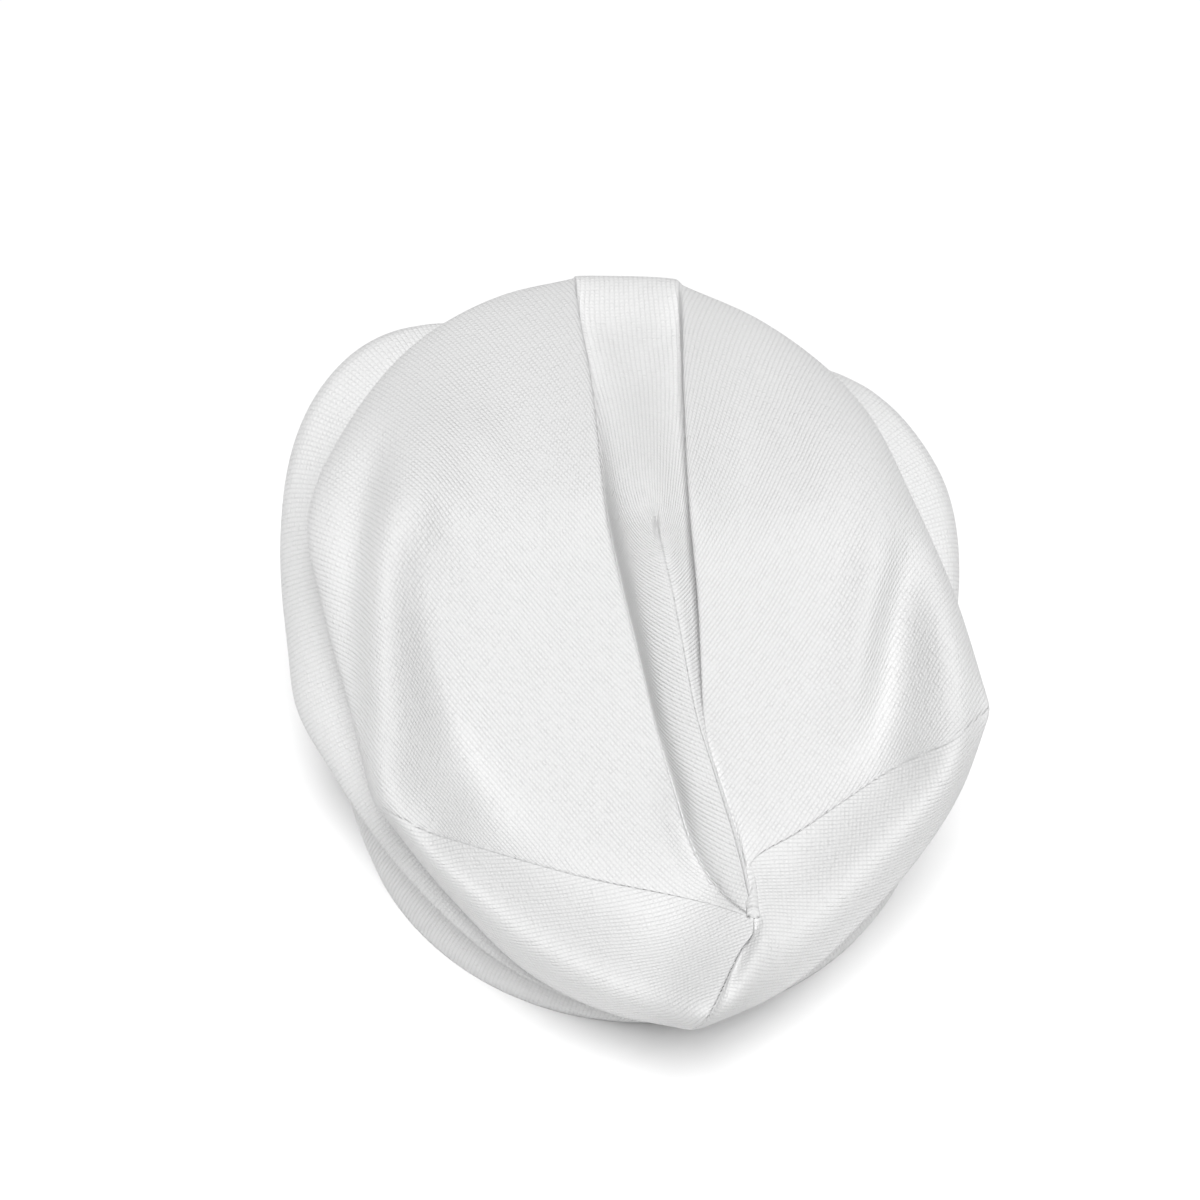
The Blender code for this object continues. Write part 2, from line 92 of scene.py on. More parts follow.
# Mesh row of the crease under the crown, where the two lower panels are cut off to be laid flat. The columns
# of stitches run in a direction of their own in each panel, set in the crown plane over its inner rows.
CREASE_ROW = 45
PANEL_ROWS = CENTRE_ROWS + EDGE_ROWS // 2
LOWER_RIGHT_KNITTING = math.radians(180)
LOWER_LEFT_KNITTING = math.radians(16)
# Share of the full wall in the folds of the crown, and the columns and rows over which it grows to the full
THIN_SHARE = 0.3
THIN_FADE_COLUMNS = 8
THIN_FADE_ROWS = 8

# Where the four seams meet, and where three of them end at the crown's edge: across, along
CENTRE = (0.0411, -0.0849)
LEFT_TIP = (-0.0623, -0.0542)
RIGHT_TIP = (0.1066, -0.0298)
NEAR_TIP = (0.0242, -0.1158)

# Edge of the crown, clockwise seen from above, panel by panel.
# name, across, along, height over the crown plane, width of the rounded edge
UPPER_LEFT_EDGE = (
    ("left_tip", *LEFT_TIP, -0.004, 0.010),
    ("left_low", -0.0693, -0.0292, -0.010, 0.013),
    ("left_mid", -0.0773, -0.0028, -0.016, 0.015),
    ("left_side", -0.0824, 0.0225, -0.022, 0.020),
    ("left_crease", -0.0721, 0.0538, -0.042, 0.040),
    ("left_notch", -0.0540, 0.0785, -0.060, 0.062),
    ("back_left", -0.0306, 0.0932, -0.072, 0.072),
    ("pleat_back_left", -0.0083, 0.0991, -0.076, 0.073),
)
UPPER_RIGHT_EDGE = (
    ("pleat_back_right", 0.0258, 0.0969, -0.076, 0.073),
    ("back_right", 0.0492, 0.0850, -0.068, 0.070),
    ("right_shoulder", 0.0776, 0.0560, -0.044, 0.040),
    ("right_side", 0.0893, 0.0285, -0.029, 0.020),
    ("right_mid", 0.0982, 0.0042, -0.018, 0.015),
    ("right_tip", *RIGHT_TIP, -0.003, 0.011),
)
LOWER_RIGHT_EDGE = (
    ("right_tip", *RIGHT_TIP, -0.003, 0.011),
    ("right_low", 0.0982, -0.0532, -0.005, 0.018),
    ("lower_right", 0.0765, -0.0833, -0.006, 0.020),
    ("near_right", 0.0468, -0.1086, -0.004, 0.016),
    ("near_tip_right", 0.0265, -0.1155, 0.001, 0.012),
)
LOWER_LEFT_EDGE = (
    ("near_tip", *NEAR_TIP, 0.002, 0.012),
    ("near", 0.0024, -0.1125, -0.003, 0.014),
    ("near_left", -0.0172, -0.1038, -0.006, 0.016),
    ("lower_left", -0.0410, -0.0814, -0.006, 0.016),
    ("left_tip", *LEFT_TIP, -0.004, 0.010),
)

# Seams from the centre of the crown to their tips: share of the way, across, along
LEFT_SEAM = (
    (0.0, *CENTRE),
    (0.40, 0.0000, -0.0773),
    (0.66, -0.0271, -0.0690),
    (1.0, *LEFT_TIP),
)
RIGHT_SEAM = (
    (0.0, *CENTRE),
    (0.13, 0.0407, -0.0735),
    (0.32, 0.0547, -0.0637),
    (0.68, 0.0818, -0.0448),
    (1.0, *RIGHT_TIP),
)
# The near seam lies on a fold: share of the way, across, along, depth of the tuck to its right
NEAR_FOLD = (
    (0.0, *CENTRE, 0.000),
    (0.15, 0.0410, -0.0879, 0.0015),
    (0.40, 0.0373, -0.0932, 0.006),
    (0.70, 0.0304, -0.1039, 0.006),
    (1.0, *NEAR_TIP, 0.001),
)

# The pleat along the back dart, from the centre to the back, seen across it from left to right:
# the left panel's edge, the foot of the pleat, the seam, the crest or right foot, the right panel's edge.
# along, left, foot depth, seam, seam depth, crest, crest depth, right, right depth
PLEAT = (
    (-0.0849, 0.0411, 0.000, 0.0411, 0.000, 0.0411, 0.000, 0.0411, 0.000),
    (-0.0800, 0.0330, 0.001, 0.0402, -0.0010, 0.0407, -0.0010, 0.0411, 0.001),
    (-0.0680, 0.0250, 0.004, 0.0378, -0.0030, 0.0383, -0.0030, 0.0387, 0.001),
    (-0.0530, 0.0205, 0.009, 0.0332, -0.0030, 0.0337, -0.0030, 0.0342, 0.001),
    (-0.0420, 0.0173, 0.013, 0.0298, -0.0010, 0.0303, -0.0005, 0.0307, 0.001),
    (-0.0330, 0.0150, 0.016, 0.0268, 0.001, 0.0282, 0.002, 0.0286, 0.001),
    (-0.0200, 0.0120, 0.018, 0.0243, 0.003, 0.0284, 0.007, 0.0278, 0.000),
    (0.0000, 0.0071, 0.019, 0.0205, 0.004, 0.0278, 0.010, 0.0269, 0.000),
    (0.0265, 0.0016, 0.019, 0.0148, 0.005, 0.0254, 0.011, 0.0245, 0.000),
    (0.0440, 0.0000, 0.019, 0.0135, 0.010, 0.0247, 0.013, 0.0240, 0.000),
    (0.0620, -0.0020, 0.019, 0.0120, 0.0150, 0.0246, 0.015, 0.0240, 0.000),
    (0.0800, -0.0050, 0.017, 0.0105, 0.0165, 0.0243, 0.014, 0.0246, 0.000),
    (0.0990, -0.0083, 0.005, 0.0090, 0.0060, 0.0236, 0.004, 0.0256, 0.000),
)

# The pleat's cross section has nine stations: the five of the table and four between them
PLEAT_STATIONS = 9
# A deep foot is tucked in under the left edge, a shallow one is soft. The tuck grows between two foot depths.
FOOT_TUCK = 0.0012
FOOT_TUCK_FROM = 0.007
FOOT_TUCK_TO = 0.015
# Where the foot lies, as a share of the way from left edge to seam, and where the left wall turns in to it,
# as a share of its depth
TUCKED_FOOT = -0.02
SOFT_FOOT = 0.04
FOOT_TURN_DEPTH = 0.55
# A point of the rise from the foot to the seam: shares of the way and of the height
FOOT_RISE = 0.28
FOOT_RISE_DEPTH = 0.66
# Depth half way from the seam to the crest, as a share of the deeper of the two
CREST_SIDE_DEPTH = 0.35
# How far the pleat's back end bulges past a straight line
PLEAT_BACK_BULGE = 0.0028
# How far beside the near fold its tucked panel starts, and how soon a tucked edge comes up again
NEAR_TUCK = 0.0010
TUCK_FADE = 0.005

# Soft forms of the crown over its floor: rise, half width, then the points that the form runs through, each
# with the share of the rise that it has there
FLOOR = -0.010
FORMS = {
    "left_ridge": (0.0160, 0.0140, (
        (-0.0600, -0.0490, 1.0), (-0.0585, -0.0270, 1.0), (-0.0575, -0.0050, 1.0), (-0.0560, 0.0180, 0.8),
        (-0.0500, 0.0440, 0.4))),
    "left_trough": (-0.0060, 0.0075, (
        (-0.0520, 0.0240, 0.0), (-0.0500, 0.0060, 0.9), (-0.0470, -0.0160, 1.0), (-0.0405, -0.0350, 0.8),
        (-0.0290, -0.0580, 0.4))),
    "left_flare": (0.006, 0.010, ((-0.055, -0.050, 1.0), (-0.046, -0.057, 1.0))),
    "left_line": (-0.007, 0.0065, (
        (-0.0620, 0.0560, 0.0), (-0.065, 0.035, 1.0), (-0.067, 0.0, 1.0), (-0.066, -0.030, 0.8))),
    "right_crease": (0.0048, 0.0070, (
        (0.0660, -0.0400, 0.0), (0.0700, -0.0250, 0.6), (0.0740, -0.0060, 1.0), (0.0780, 0.0150, 1.0),
        (0.0800, 0.0260, 0.3))),
    "right_wedge": (-0.0070, 0.0070, (
        (0.0780, -0.0480, 0.3), (0.0805, -0.0300, 0.8), (0.0825, -0.0080, 1.0), (0.0850, 0.0120, 0.7),
        (0.0855, 0.0240, 0.0))),
    "right_corner": (0.0120, 0.0110, (
        (0.0960, -0.0340, 1.0), (0.0970, -0.0140, 1.0), (0.0950, 0.0040, 0.7), (0.0930, 0.0180, 0.2))),
    "right_fold": (-0.0022, 0.0040, (
        (0.0480, 0.0760, 0.0), (0.0510, 0.0620, 1.0), (0.0560, 0.0380, 0.8), (0.0580, 0.0250, 0.0))),
    "left_dent": (-0.0024, 0.0038, ((-0.0440, 0.0270, 0.2), (-0.0420, 0.0200, 1.0), (-0.0380, 0.0100, 0.2))),
    "middle_dent": (-0.0018, 0.0038, (
        (-0.0320, 0.0160, 0.3), (-0.0295, 0.0100, 1.0), (-0.0270, 0.0050, 0.2))),
    "upper_dent": (0.0020, 0.0045, ((-0.0360, 0.0540, 0.2), (-0.0330, 0.0460, 1.0), (-0.0310, 0.0380, 0.2))),
    "pleat_end_left": (-0.0028, 0.0040, (
        (-0.0020, 0.0940, 0.6), (0.0060, 0.0780, 1.0), (0.0115, 0.0640, 0.5))),
    "pleat_end_right": (-0.0028, 0.0040, (
        (0.0250, 0.0920, 0.6), (0.0185, 0.0780, 1.0), (0.0120, 0.0640, 0.5))),
    "left_band": (0.020, 0.013, (
        (-0.046, -0.069, 1.0), (-0.023, -0.088, 1.0), (0.003, -0.103, 1.0), (0.022, -0.109, 1.0))),
    "right_band": (0.018, 0.012, (
        (0.093, -0.049, 1.0), (0.072, -0.074, 1.0), (0.051, -0.096, 1.0), (0.030, -0.110, 1.0))),
    "centre_ridge": (0.012, 0.012, ((0.040, -0.085, 1.0), (0.034, -0.098, 1.0))),
    "pleat_valley": (-0.0055, 0.0045, (
        (0.0190, -0.0480, 0.0), (0.0215, -0.0600, 0.8), (0.0260, -0.0700, 1.0), (0.0320, -0.0795, 0.9),
        (0.0365, -0.0830, 0.2))),
}

# The tube under the crown. Each row goes round its axis in eight directions: right, back right, back,
# back left, left, front left, front and front right. Heights are over the floor, reaches from the axis.
WALL_AXIS = np.array((-0.006, -0.002))
SHOULDER_INSET = 0.002
SHOULDER_DROP = (0.014, 0.014, 0.018, 0.012, 0.010, 0.010, 0.010, 0.012)
TUCK = (0.005, 0.001, 0.000, 0.002, 0.003, 0.014, 0.013, 0.008)
RINGS = {
    "upper_roll": {
        "height": (0.088, 0.119, 0.103, 0.127, 0.078, 0.053, 0.031, 0.048),
        "reach": (0.0955, 0.1038, 0.106, 0.1125, 0.0990, 0.0870, 0.091, 0.085),
    },
    "lower_crease": {
        "height": (0.048, 0.055, 0.055, 0.060, 0.050, 0.034, 0.021, 0.030),
        "reach": (0.090, 0.089, 0.090, 0.093, 0.087, 0.077, 0.078, 0.082),
    },
    "lower_roll": {
        "height": (0.022, 0.024, 0.025, 0.025, 0.022, 0.016, 0.011, 0.015),
        "reach": (0.097, 0.093, 0.088, 0.090, 0.088, 0.0805, 0.083, 0.090),
    },
    "rim": {
        "height": (0.0, 0.0, 0.0, 0.0, 0.0, 0.0, 0.0, 0.0),
        "reach": (0.094, 0.090, 0.084, 0.087, 0.085, 0.0785, 0.079, 0.086),
    },
}
EVENING_ROUNDS = 12
# Mesh rows in each stretch of the tube: shoulder, crease, upper roll, lower crease, lower roll, rim
WALL_ROWS = (4, 4, 4, 6, 4, 4)

# Soft slanting folds of the tube, laid out at one reach from its axis and fading out above the rim:
# angle round the axis, height, slant from level, half length, half width, and how far it stands out
FOLD_REACH = 0.095
FOLD_FADE_HEIGHT = 0.015
WALL_FOLDS = (
    (math.radians(20), 0.062, math.radians(35), 0.050, 0.011, 0.005),
    (math.radians(62), 0.075, math.radians(-40), 0.055, 0.012, -0.006),
    (math.radians(105), 0.060, math.radians(30), 0.050, 0.012, 0.005),
    (math.radians(140), 0.050, math.radians(-35), 0.045, 0.011, -0.005),
    (math.radians(172), 0.055, math.radians(25), 0.045, 0.011, 0.004),
    (math.radians(325), 0.040, math.radians(-25), 0.040, 0.010, -0.004),
)

# The knit's relief: how far stitches are pulled out of line and over what distance, how steep their V is, how
# full columns and stitches are, how deep the stitches part, and the lowest stitch against the highest
PULL = 0.4
PULL_SCALE = 110.0
PULL_DETAIL = 1.0
STITCH_SLANT = 0.6
STITCH_FULLNESS = 0.6
STITCH_PARTING = 0.6
SMALLEST_STITCH = 0.55
WEAVE_STRENGTH = 1.0
# Fuzz of the yarn, and its sheen
FUZZ = 0.8
FUZZ_SCALE = 1100.0
FUZZ_DETAIL = 3.0
SHEEN = 0.25
SHEEN_ROUGHNESS = 0.5
# How steeply a sewn line goes down, how strongly it shows, and how much painted shade darkens the yarn
# between stitches
SEAM_SHARPNESS = 4.0
SEAM_STRENGTH = 0.8
PAINTED_SHADE_BETWEEN_STITCHES = 0.92

# The camera's sensor in millimetres, the roughness of the floor, and how bright the horizon looks
SENSOR_WIDTH = 36.0
FLOOR_ROUGHNESS = 0.9
HORIZON_STRENGTH = 1.0


def through(share, step, start, end, start_slope, end_slope):
    """Cubic curve from one value to the next with the given slopes."""
    square = share * share
    cube = square * share
    return ((2 * cube - 3 * square + 1) * start + (cube - 2 * square + share) * step * start_slope
            + (3 * square - 2 * cube) * end + (cube - square) * step * end_slope)


def smooth_between(knots, values, at):
    """Cubic curve through a table's values, without overshoot between its rows."""
    knots = np.asarray(knots, float)
    values = np.asarray(values, float)
    at = np.clip(np.asarray(at, float), knots[0], knots[-1])
    steps = np.diff(knots)
    slopes = np.diff(values) / steps
    tangents = np.empty_like(values)
    tangents[0] = slopes[0]
    tangents[-1] = slopes[-1]
    for i in range(1, len(values) - 1):
        before, after = slopes[i - 1], slopes[i]
        if before * after <= 0:
            tangents[i] = 0.0
        else:
            tangents[i] = 2 * before * after / (before + after)
    index = np.clip(np.searchsorted(knots, at, side="right") - 1, 0, len(steps) - 1)
    step = steps[index]
    share = (at - knots[index]) / step
    return through(share, step, values[index], values[index + 1], tangents[index], tangents[index + 1])


def flowing_curve(points, at):
    """Catmull-Rom curve through the points, which are rows of an array, at shares 0 to 1 of its length."""
    points = np.asarray(points, float)
    lengths = np.linalg.norm(np.diff(points[:, :2], axis=0), axis=1)
    knots = np.concatenate(((0.0,), np.cumsum(lengths)))
    tangents = np.gradient(points, knots, axis=0)
    where = np.asarray(at, float) * knots[-1]
    index = np.clip(np.searchsorted(knots, where, side="right") - 1, 0, len(lengths) - 1)
    step = lengths[index][:, None]
    share = ((where - knots[index]) / lengths[index])[:, None]
    return through(share, step, points[index], points[index + 1], tangents[index], tangents[index + 1])


def around(values, angle):
    """Value at an angle, from eight values at equal steps from +X counterclockwise."""
    count = len(values)
    harmonics = np.fft.rfft(values) / count
    result = np.full_like(angle, harmonics[0].real)
    for order in range(1, count // 2 + 1):
        weight = 1.0 if order == count // 2 else 2.0
        result += weight * (harmonics[order] * np.exp(1j * order * angle)).real
    return result


def nearest_on_path(across, along, path):
    """Distance in the crown plane from points to a path of straight runs, and the path's strength there."""
    nearest = np.full_like(across, np.inf)
    strength = np.zeros_like(across)
    for start, end in zip(path[:-1], path[1:]):
        run = np.subtract(end[:2], start[:2])
        share = ((across - start[0]) * run[0] + (along - start[1]) * run[1]) / run.dot(run)
        share = np.clip(share, 0.0, 1.0)
        gap = np.hypot(across - start[0] - share * run[0], along - start[1] - share * run[1])
        strength = np.where(gap < nearest, start[2] + share * (end[2] - start[2]), strength)
        nearest = np.minimum(nearest, gap)
    return nearest, strength


def form_height(across, along):
    """Height of the crown's soft forms over the crown plane."""
    height = np.full_like(across, FLOOR)
    for rise, half_width, path in FORMS.values():
        gap, strength = nearest_on_path(across, along, path)
        height += rise * strength * np.exp(-(gap / half_width) ** 2)
    return height


def round_off(height, share, length, edge_height, edge_width):
    """Lower a height toward the crown's edge along a rounded shoulder."""
    wide = np.clip(edge_width / WIDE_EDGE, 0.0, 1.0)
    power = NARROW_EDGE_POWER + wide * (WIDE_EDGE_POWER - NARROW_EDGE_POWER)
    into = np.clip(1.0 - (1.0 - share) * length / edge_width, 0.0, 1.0)
    weight = 1.0 - (1.0 - into ** power) ** (1.0 / power)
    return (1.0 - weight) * height + weight * edge_height


def row_shares(length):
    """Shares of a crown column's length, from its centre to its edge, where the mesh rows lie."""
    band = min(EDGE_BAND, EDGE_BAND_SHARE * length)
    outer = band * np.linspace(1.0, 0.0, EDGE_ROWS + 1) ** EDGE_CROWDING
    inner = length - (length - band) * np.linspace(0.0, 1.0, CENTRE_ROWS + 1)[:-1] ** CENTRE_CROWDING
    return 1.0 - np.concatenate((inner, outer)) / length


def seam_guide(table):
    """Function that gives a seam's across, along and further columns at shares of its length."""
    table = np.asarray(table)

    def at(shares):
        return [smooth_between(table[:, 0], table[:, k], shares) for k in range(1, table.shape[1])]

    return at


def pleat_rows(shares):
    """The pleat's table read at shares of its length: along, then its eight further columns."""
    table = np.asarray(PLEAT)
    along = CENTRE[1] + shares * (table[-1, 0] - CENTRE[1])
    return [along] + [smooth_between(table[:, 0], table[:, k], along) for k in range(1, 9)]


def pleat_left_guide(shares):
    """The left panel's edge at the pleat."""
    along, left = pleat_rows(shares)[:2]
    return [left, along]


def pleat_right_guide(shares):
    """The right panel's edge at the pleat, with its depth under the crest."""
    rows = pleat_rows(shares)
    return [rows[7], rows[0], rows[8]]


def pleat_stations(share):
    """Cross section of the pleat from left to right, as rows of across and depth."""
    values = [value[0] for value in pleat_rows(np.array((share,)))[1:]]
    left, foot_depth, seam, seam_depth, crest, crest_depth, right, right_depth = values
    deepest = max(seam_depth, crest_depth)
    shallowest = min(seam_depth, crest_depth)
    crest_side_depth = CREST_SIDE_DEPTH * deepest + (1 - CREST_SIDE_DEPTH) * shallowest
    tucked = min(max((foot_depth - FOOT_TUCK_FROM) / (FOOT_TUCK_TO - FOOT_TUCK_FROM), 0.0), 1.0)
    foot = tucked * TUCKED_FOOT + (1 - tucked) * SOFT_FOOT
    rise = foot + FOOT_RISE * (1 - foot)
    tuck = (1 - tucked) * foot / 2 * (seam - left) - tucked * FOOT_TUCK
    rise_depth = (1 - FOOT_RISE_DEPTH) * foot_depth + FOOT_RISE_DEPTH * seam_depth
    return np.array((
        (left, 0.0),
        (left + tuck, FOOT_TURN_DEPTH * foot_depth),
        (left + foot * (seam - left), foot_depth),
        (left + rise * (seam - left), rise_depth),
        (seam, seam_depth),
        ((seam + crest) / 2, crest_side_depth),
        (crest, crest_depth),
        ((crest + right) / 2, (crest_depth + right_depth) / 2),
        (right, right_depth),
    ))


def pleat_columns():
    """The pleat's columns from left to right."""
    start = np.array(UPPER_LEFT_EDGE[-1][1:])
    end = np.array(UPPER_RIGHT_EDGE[0][1:])
    segments = PLEAT_STATIONS - 1
    columns = []
    for place in np.arange(0, segments * PLEAT_STEPS + 1) / PLEAT_STEPS:
        blend = place / segments
        edge = (1 - blend) * start + blend * end
        edge[1] += PLEAT_BACK_BULGE * 4 * blend * (1 - blend)
        length = math.hypot(edge[0] - CENTRE[0], edge[1] - CENTRE[1])
        column = []
        for share in row_shares(length):
            stations = pleat_stations(share)
            order = np.arange(len(stations), dtype=float)
            across = float(smooth_between(order, stations[:, 0], place))
            depth = float(smooth_between(order, stations[:, 1], place))
            along = CENTRE[1] + share * (edge[1] - CENTRE[1])
            flat = np.array((across,)), np.array((along,))
            height = round_off(form_height(*flat), share, length, edge[2], edge[3])[0] - depth
            column.append((across, along, height))
        columns.append(np.array(column))
    return columns


def panel(first, last, edge_table, columns):
    """One panel of the crown: its columns between two guides, out to its stretch of the crown's edge."""
    edge = np.array([row[1:] for row in edge_table])
    steps = np.linspace(0.0, 1.0, columns + 1)
    result = []
    for step, (edge_across, edge_along, edge_height, edge_width) in zip(steps, flowing_curve(edge, steps)):
        length = math.hypot(edge_across - CENTRE[0], edge_along - CENTRE[1])
        shares = row_shares(length)
        start, end = first(shares), last(shares)
        across = (1 - step) * start[0] + step * end[0]
        along = (1 - step) * start[1] + step * end[1]
        across = across + shares ** 2 * (edge_across - across[-1])
        along = along + shares ** 2 * (edge_along - along[-1])
        height = round_off(form_height(across, along), shares, length, edge_height, edge_width)
        if len(start) > 2:
            gap = np.hypot(across - start[0], along - start[1])
            height = height - start[2] * np.exp(-(gap / TUCK_FADE) ** 2)
        result.append(np.stack((across, along, height), axis=1))
    return result


def near_tuck_guide(shares):
    """The lower right panel's edge, tucked under the fold at the near seam."""
    across, along, depth = seam_guide(NEAR_FOLD)(shares)
    return [across + NEAR_TUCK * shares, along, depth]


def near_fold_guide(shares):
    """The lower left panel's edge, on the fold at the near seam."""
    return seam_guide(NEAR_FOLD)(shares)[:2]


def crown_columns():
    """Columns of the crown, clockwise from the left seam."""
    left = seam_guide(LEFT_SEAM)
    right = seam_guide(RIGHT_SEAM)
    columns = panel(left, pleat_left_guide, UPPER_LEFT_EDGE, UPPER_LEFT_COLUMNS)[:-1]
    columns += pleat_columns()
    columns += panel(pleat_right_guide, right, UPPER_RIGHT_EDGE, UPPER_RIGHT_COLUMNS)[1:]
    lower_right = panel(near_tuck_guide, right, tuple(reversed(LOWER_RIGHT_EDGE)), LOWER_RIGHT_COLUMNS)
    columns += list(reversed(lower_right))[1:]
    columns += panel(near_fold_guide, left, LOWER_LEFT_EDGE, LOWER_LEFT_COLUMNS)[:-1]
    return columns


def to_world(points):
    """Crown plane points, as across, along and height, in the hat's frame."""
    return CROWN_POINT + points[:, :1] * ACROSS + points[:, 1:2] * ALONG + points[:, 2:3] * OUT


def wall_angles(edge_points):
    """Angle of each column of the tube round its axis, evened out between neighbours."""
    offsets = edge_points[:, :2] - WALL_AXIS
    angles = np.unwrap(np.arctan2(offsets[:, 1], offsets[:, 0]))
    turn = math.copysign(2 * math.pi, angles[-1] - angles[0])
    for _ in range(EVENING_ROUNDS):
        before = np.concatenate(((angles[-1] - turn,), angles[:-1]))
        after = np.concatenate((angles[1:], (angles[0] + turn,)))
        angles = (before + 2 * angles + after) / 4
    return angles


def wall_column(edge_point, column_angle):
    """Points of the tube under one point of the crown's edge, down to the rim."""
    angle = np.array((column_angle,))
    direction = np.array((math.cos(column_angle), math.sin(column_angle), 0.0))
    rings = []
    for ring in RINGS.values():
        point = around(ring["reach"], angle)[0] * direction
        point[:2] += WALL_AXIS
        point[2] = around(ring["height"], angle)[0]
        rings.append(point)
    shoulder = edge_point - around(SHOULDER_DROP, angle)[0] * OUT - SHOULDER_INSET * direction
    crease = 0.5 * (shoulder + rings[0]) - around(TUCK, angle)[0] * direction
    knots = np.array([edge_point, shoulder, crease] + rings)
    spans = np.linalg.norm(np.diff(knots, axis=0), axis=1)
    places = np.concatenate(((0.0,), np.cumsum(spans)))
    tangents = np.gradient(knots, places, axis=0)
    tangents[0] = -OUT
    points = []
    for k, steps in enumerate(WALL_ROWS):
        for step in range(1, steps + 1):
            share = step / steps
            points.append(through(share, spans[k], knots[k], knots[k + 1], tangents[k], tangents[k + 1]))
    points = np.array(points)
    points[:, :2] += wall_folds(angle[0], points[:, 2])[:, None] * direction[:2]
    return points


def wall_folds(angle, heights):
    """How far the tube's slanting folds move it outward."""
    moved = np.zeros_like(heights)
    for fold_angle, height, slant, half_length, half_width, depth in WALL_FOLDS:
        turn = math.remainder(angle - fold_angle, 2 * math.pi)
        side = turn * FOLD_REACH
        rise = heights - height
        lengthwise = side * math.cos(slant) + rise * math.sin(slant)
        crosswise = rise * math.cos(slant) - side * math.sin(slant)
        moved += depth * np.exp(-(lengthwise / half_length) ** 2 - (crosswise / half_width) ** 2)
    return moved * np.clip(heights / FOLD_FADE_HEIGHT, 0.0, 1.0)


def ease_centre(columns):
    """Even out the heights round the centre, where four panels and a pleat come to a point."""
    easing = np.clip(1 - np.arange(columns.shape[1]) / CENTRE_EASING_ROWS, 0.0, 1.0)
    heights = columns[:, :, 2]
    for _ in range(CENTRE_EASING_ROUNDS):
        beside = (np.roll(heights, 1, axis=0) + np.roll(heights, -1, axis=0)) / 2
        heights += easing * (beside - heights) / 2
    return columns


def outer_surface():
    """Points of the jersey's outer side, the first at its centre, and the numbers of columns and rows."""
    crowns = [to_world(column) for column in ease_centre(np.array(crown_columns()))]
    angles = wall_angles(np.array([crown[-1] for crown in crowns]))
    columns = [np.vstack((crown[1:], wall_column(crown[-1], angle))) for crown, angle in zip(crowns, angles)]
    points = np.vstack([crowns[0][:1]] + columns) + FRAME_SHIFT
    return points, len(columns), len(columns[0])


def seam_columns():
    """Column of each sewn line."""
    pleat_first = UPPER_LEFT_COLUMNS
    pleat_last = pleat_first + (PLEAT_STATIONS - 1) * PLEAT_STEPS
    right = pleat_last + UPPER_RIGHT_COLUMNS
    near = right + LOWER_RIGHT_COLUMNS + 1
    return {"left": 0, "back": (pleat_first + pleat_last) // 2, "right": right, "near": near}


def seam_edges(points, count, rows):
    """Edges that are sewn, as pairs of vertex numbers, and those where the cloth is cut to lay it flat."""
    sewn = set()
    cut = set()
    places = seam_columns()
    for name, column in places.items():
        walked = 0.0
        numbers = [0] + [1 + column * rows + row for row in range(rows)]
        for place, (first, second) in enumerate(zip(numbers[:-1], numbers[1:])):
            walked += float(np.linalg.norm(points[second] - points[first]))
            if walked < DART_LENGTH:
                sewn.add((first, second))
            if name == "near" or name in ("left", "right") and place <= CREASE_ROW:
                cut.add((first, second))
    for column in range(places["right"], count):
        beside = (column + 1) % count
        pair = 1 + column * rows + CREASE_ROW, 1 + beside * rows + CREASE_ROW
        cut.add((min(pair), max(pair)))
    return sewn, cut | sewn


def select_only(obj):
    """Make one object the only selected and the active one."""
    bpy.ops.object.select_all(action="DESELECT")
    obj.select_set(True)
    bpy.context.view_layer.objects.active = obj


def corners_of(mesh, faces):
    """Numbers of all corners of some faces."""
    corners = []
    for number in faces:
        face = mesh.polygons[number]
        corners += range(face.loop_start, face.loop_start + face.loop_total)
    return np.array(corners)


def panel_faces(first, last, rows):
    """Numbers of a lower panel's faces, from one column to another, down to the crease under the crown."""
    return [column * rows + row for column in range(first, last) for row in range(CREASE_ROW + 1)]


def turned(flat, angle):
    """Flat points turned counterclockwise."""
    cosine, sine = math.cos(angle), math.sin(angle)
    return flat @ np.array(((cosine, sine), (-sine, cosine)))


def real_size(mesh, faces, flat):
    """Factor that gives some faces of the flat layout their real area."""
    area_flat = 0.0
    area_real = 0.0
    for number in faces:
        face = mesh.polygons[number]
        area_real += face.area
        loops = flat[face.loop_start:face.loop_start + face.loop_total]
        after = np.roll(loops, -1, axis=0)
        area_flat += abs(float((loops[:, 0] * after[:, 1] - after[:, 0] * loops[:, 1]).sum())) / 2
    return math.sqrt(area_real / area_flat)


def knitting_angle(mesh, faces, flat, point_of):
    """Angle of the flat layout's upward direction in the crown plane, over some faces."""
    loops = corners_of(mesh, faces)
    places = np.array([mesh.vertices[number].co[:] for number in point_of[loops]])
    plane = places @ np.stack((ACROSS, ALONG), axis=1)
    plane = (plane - plane.mean(axis=0)) @ (1, 1j)
    laid = (flat[loops] - flat[loops].mean(axis=0)) @ (1, 1j)
    return math.pi / 2 - float(np.angle((laid * plane.conj()).sum()))


